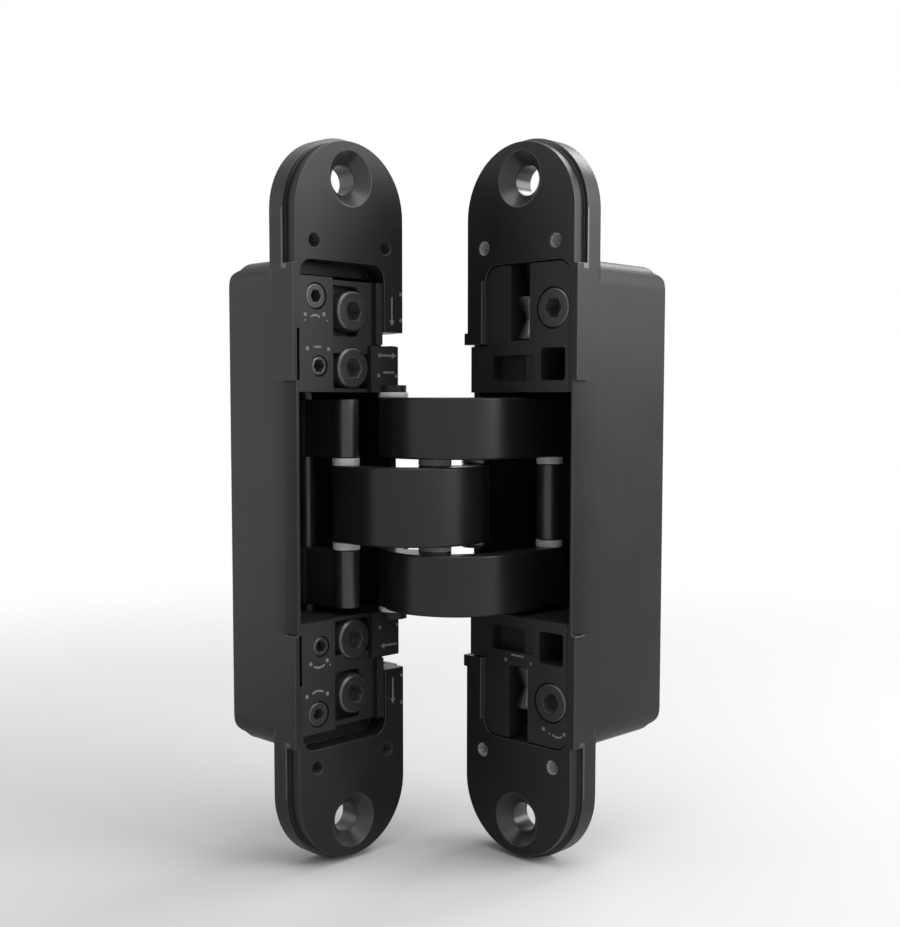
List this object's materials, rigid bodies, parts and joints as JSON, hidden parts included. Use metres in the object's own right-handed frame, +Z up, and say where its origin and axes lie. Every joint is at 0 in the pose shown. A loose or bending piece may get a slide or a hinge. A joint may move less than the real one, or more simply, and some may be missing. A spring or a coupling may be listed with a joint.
{
  "type": "concealed invisible door hinge",
  "caption": "Concealed door hinge adjustable in three directions: two mortised housings joined by crossed arms that let the leaf open half a turn.",
  "frame": {"origin": "on the plane of the frame plate's seat, the back of its two ears, halfway between the two fixing screws", "axes": "+Z up along the hinge, +Y into the door frame, +X across the plate towards the arms and the door"},
  "size_m": [0.0726, 0.0635, 0.156],
  "materials": {
    "housing_casting": "satin black coating on a zinc casting",
    "carrier_casting": "satin black coating on a zinc casting",
    "arm_casting": "satin black coating on a zinc casting",
    "link_steel": "blackened steel, ground smooth",
    "pin_steel": "ground steel",
    "screw_steel": "blackened steel with a bright rim",
    "washer": "pale grey low-friction plastic"
  },
  "bodies": {
    "frame_half": {"frame_housing": "housing_casting", "frame_link_pin": "pin_steel", "frame_lower_carrier": "carrier_casting", "frame_lower_depth_adjuster": "screw_steel", "frame_lower_far_clamp_screw": "screw_steel", "frame_lower_near_clamp_screw": "screw_steel", "frame_lower_pivot_pin": "pin_steel", "frame_lower_pivot_washer": "washer", "frame_lower_side_adjuster": "screw_steel", "frame_upper_carrier": "carrier_casting", "frame_upper_depth_adjuster": "screw_steel", "frame_upper_far_clamp_screw": "screw_steel", "frame_upper_near_clamp_screw": "screw_steel", "frame_upper_pivot_pin": "pin_steel", "frame_upper_pivot_washer": "washer", "frame_upper_side_adjuster": "screw_steel"},
    "fork_arms": {"centre_pin": "pin_steel", "fork_end_lower_washer": "washer", "fork_end_pin": "pin_steel", "fork_end_upper_washer": "washer", "lower_fork_arm": "arm_casting", "upper_fork_arm": "arm_casting"},
    "middle_arm": {"centre_lower_washer": "washer", "centre_upper_washer": "washer", "middle_arm": "arm_casting", "middle_arm_end_pin": "pin_steel", "middle_end_lower_washer": "washer", "middle_end_upper_washer": "washer"},
    "frame_links": {"frame_lower_link": "link_steel", "frame_upper_link": "link_steel"},
    "door_half": {"door_housing": "housing_casting", "door_link_pin": "pin_steel", "door_lower_carrier": "carrier_casting", "door_lower_clamp_screw": "screw_steel", "door_lower_height_cam": "screw_steel", "door_lower_pivot_cheek": "pin_steel", "door_pivot_pin": "pin_steel", "door_upper_carrier": "carrier_casting", "door_upper_clamp_screw": "screw_steel", "door_upper_height_cam": "screw_steel", "door_upper_pivot_cheek": "pin_steel"},
    "door_link": {"door_link": "link_steel"}
  },
  "joints": [
    {"name": "fork_swing", "type": "hinge", "parent": "frame_half", "child": "fork_arms", "pos_m": [0.0122, -0.0075, 0], "axis": [0, 0, 1], "range_deg": [-90, 90]},
    {"name": "centre_fold", "type": "hinge", "parent": "fork_arms", "child": "middle_arm", "pos_m": [0.0142, -0.0185, 0], "axis": [0, 0, 1], "range_deg": [-90, 90]},
    {"name": "door_swing", "type": "hinge", "parent": "middle_arm", "child": "door_half", "pos_m": [0.0252, -0.0205, 0], "axis": [0, 0, 1], "range_deg": [-90, 90]},
    {"name": "frame_link_swing", "type": "hinge", "parent": "frame_half", "child": "frame_links", "pos_m": [-0.0001, 0.0077, 0], "axis": [0, 0, 1], "range_deg": [-90, 90]},
    {"name": "door_link_swing", "type": "hinge", "parent": "door_half", "child": "door_link", "pos_m": [0.0492, -0.0328, 0], "axis": [0, 0, 1], "range_deg": [-90, 90]}
  ],
  "couplings": [
    {"joint": "fork_swing", "follows": "door_swing", "ratio": 1},
    {"joint": "centre_fold", "follows": "door_swing", "ratio": -1},
    {"joint": "frame_link_swing", "follows": "door_swing", "ratio": 1},
    {"joint": "door_link_swing", "follows": "door_swing", "ratio": -1}
  ]
}
